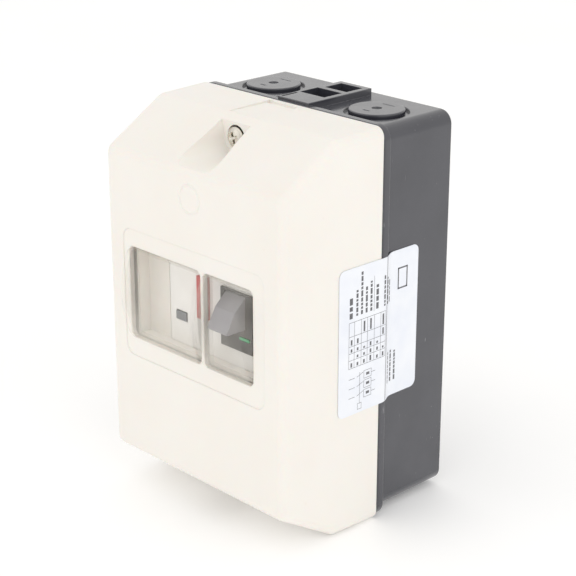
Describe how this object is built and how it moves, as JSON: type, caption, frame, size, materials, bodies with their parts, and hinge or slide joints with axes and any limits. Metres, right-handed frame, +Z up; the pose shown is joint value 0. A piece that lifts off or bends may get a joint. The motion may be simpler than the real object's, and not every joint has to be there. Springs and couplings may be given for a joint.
{
  "type": "motor protection breaker in enclosure",
  "caption": "Manual motor starter in a surface-mounting enclosure: black base, cream cover, clear soft window over START and STOP buttons, cable knock-outs, side label.",
  "frame": {"origin": "centre of the flat back face that goes against the wall", "axes": "+X to the right seen from the front, +Y back towards the wall, +Z up; the front faces -Y"},
  "size_m": [0.0934, 0.0883, 0.148],
  "materials": {
    "cover_cream": "satin moulded plastic",
    "base_black": "satin to glossy moulded plastic",
    "seal_rubber": "matt",
    "clear_membrane": "clear soft plastic with a warm tint",
    "label_film": "satin printed film",
    "screw_steel": "nickel plated",
    "zinc_steel": "zinc plated",
    "spring_steel": "bright drawn wire",
    "earth_brass": "bright",
    "copper": "bright rolled copper",
    "bimetal": "rolled",
    "case_grey": "matt moulded plastic",
    "case_white": "matt moulded plastic",
    "button_black": "satin",
    "button_red": "satin",
    "flag_green": "satin",
    "test_grey": "matt",
    "dial_ivory": "matt",
    "carrier_brown": "matt thermoset",
    "trip_ivory": "matt"
  },
  "bodies": {
    "enclosure": {"base_shell": "base_black", "cover_gasket": "seal_rubber", "cover_shell": "cover_cream", "cover_screw_top": "screw_steel", "cover_screw_bottom": "screw_steel", "screw_washer_top": "seal_rubber", "screw_washer_bottom": "seal_rubber", "clear_membrane": "clear_membrane", "membrane_frame": "cover_cream", "side_label": "label_film", "mounting_rail": "zinc_steel", "rail_screw_left": "zinc_steel", "rail_screw_right": "zinc_steel", "earth_block": "earth_brass", "earth_screw_1": "zinc_steel", "earth_screw_2": "zinc_steel", "breaker_rear_case": "case_grey", "breaker_front_case": "case_white", "latch_spring": "spring_steel", "button_bezel": "button_black", "ready_flag": "flag_green", "mechanism_frame": "zinc_steel", "lever_pin": "spring_steel", "frame_screw_1": "zinc_steel", "frame_screw_2": "zinc_steel", "frame_screw_3": "zinc_steel", "frame_screw_4": "zinc_steel", "line_terminal_1": "copper", "load_terminal_1": "copper", "line_screw_1": "zinc_steel", "load_screw_1": "zinc_steel", "magnetic_coil_1": "copper", "bimetal_strip_1": "bimetal", "line_terminal_2": "copper", "load_terminal_2": "copper", "line_screw_2": "zinc_steel", "load_screw_2": "zinc_steel", "magnetic_coil_2": "copper", "bimetal_strip_2": "bimetal", "line_terminal_3": "copper", "load_terminal_3": "copper", "line_screw_3": "zinc_steel", "load_screw_3": "zinc_steel", "magnetic_coil_3": "copper", "bimetal_strip_3": "bimetal"},
    "start_button": {"start_button": "button_black"},
    "stop_button": {"stop_button": "button_red"},
    "contact_carrier": {"contact_carrier": "carrier_brown", "contact_bridge_1": "copper", "contact_bridge_2": "copper", "contact_bridge_3": "copper"},
    "latch_lever": {"latch_lever": "zinc_steel"},
    "test_button": {"test_button": "test_grey"},
    "trip_bar": {"trip_bar": "trip_ivory"},
    "setting_dial": {"setting_dial": "dial_ivory"},
    "rail_latch": {"rail_latch": "case_grey"}
  },
  "joints": [
    {"name": "start_button_press", "type": "slide", "parent": "enclosure", "child": "start_button", "axis": [0, 1, 0], "range_m": [0, 0.004]},
    {"name": "stop_button_travel", "type": "slide", "parent": "enclosure", "child": "stop_button", "axis": [0, 1, 0], "range_m": [-0.0024, 0]},
    {"name": "contact_carrier_slide", "type": "slide", "parent": "enclosure", "child": "contact_carrier", "axis": [0, 1, 0], "range_m": [0, 0.003]},
    {"name": "latch_lever_turn", "type": "hinge", "parent": "enclosure", "child": "latch_lever", "pos_m": [0.0026, -0.0635, 0.0085], "axis": [0, 0, 1], "range_deg": [0, 33.1]},
    {"name": "test_button_press", "type": "slide", "parent": "enclosure", "child": "test_button", "axis": [0, 1, 0], "range_m": [0, 0.0012], "stiffness_N_per_m": 300, "springref_m": -0.0005},
    {"name": "trip_bar_slide", "type": "slide", "parent": "enclosure", "child": "trip_bar", "axis": [1, 0, 0], "range_m": [0, 0.0015]},
    {"name": "setting_dial_turn", "type": "hinge", "parent": "enclosure", "child": "setting_dial", "pos_m": [0.008, -0.0755, -0.0176], "axis": [0, -1, 0], "range_deg": [-120, 120]},
    {"name": "rail_latch_pull", "type": "slide", "parent": "enclosure", "child": "rail_latch", "axis": [0, 0, -1], "range_m": [0, 0.004], "stiffness_N_per_m": 500, "springref_m": -0.002, "deforming": ["latch_spring"]}
  ],
  "couplings": [
    {"joint": "stop_button_travel", "follows": "start_button_press", "ratio": -0.6},
    {"joint": "contact_carrier_slide", "follows": "start_button_press", "ratio": 0.75},
    {"joint": "latch_lever_turn", "follows": "start_button_press", "rad_per_m": 144},
    {"joint": "trip_bar_slide", "follows": "test_button_press", "ratio": 1.25}
  ]
}
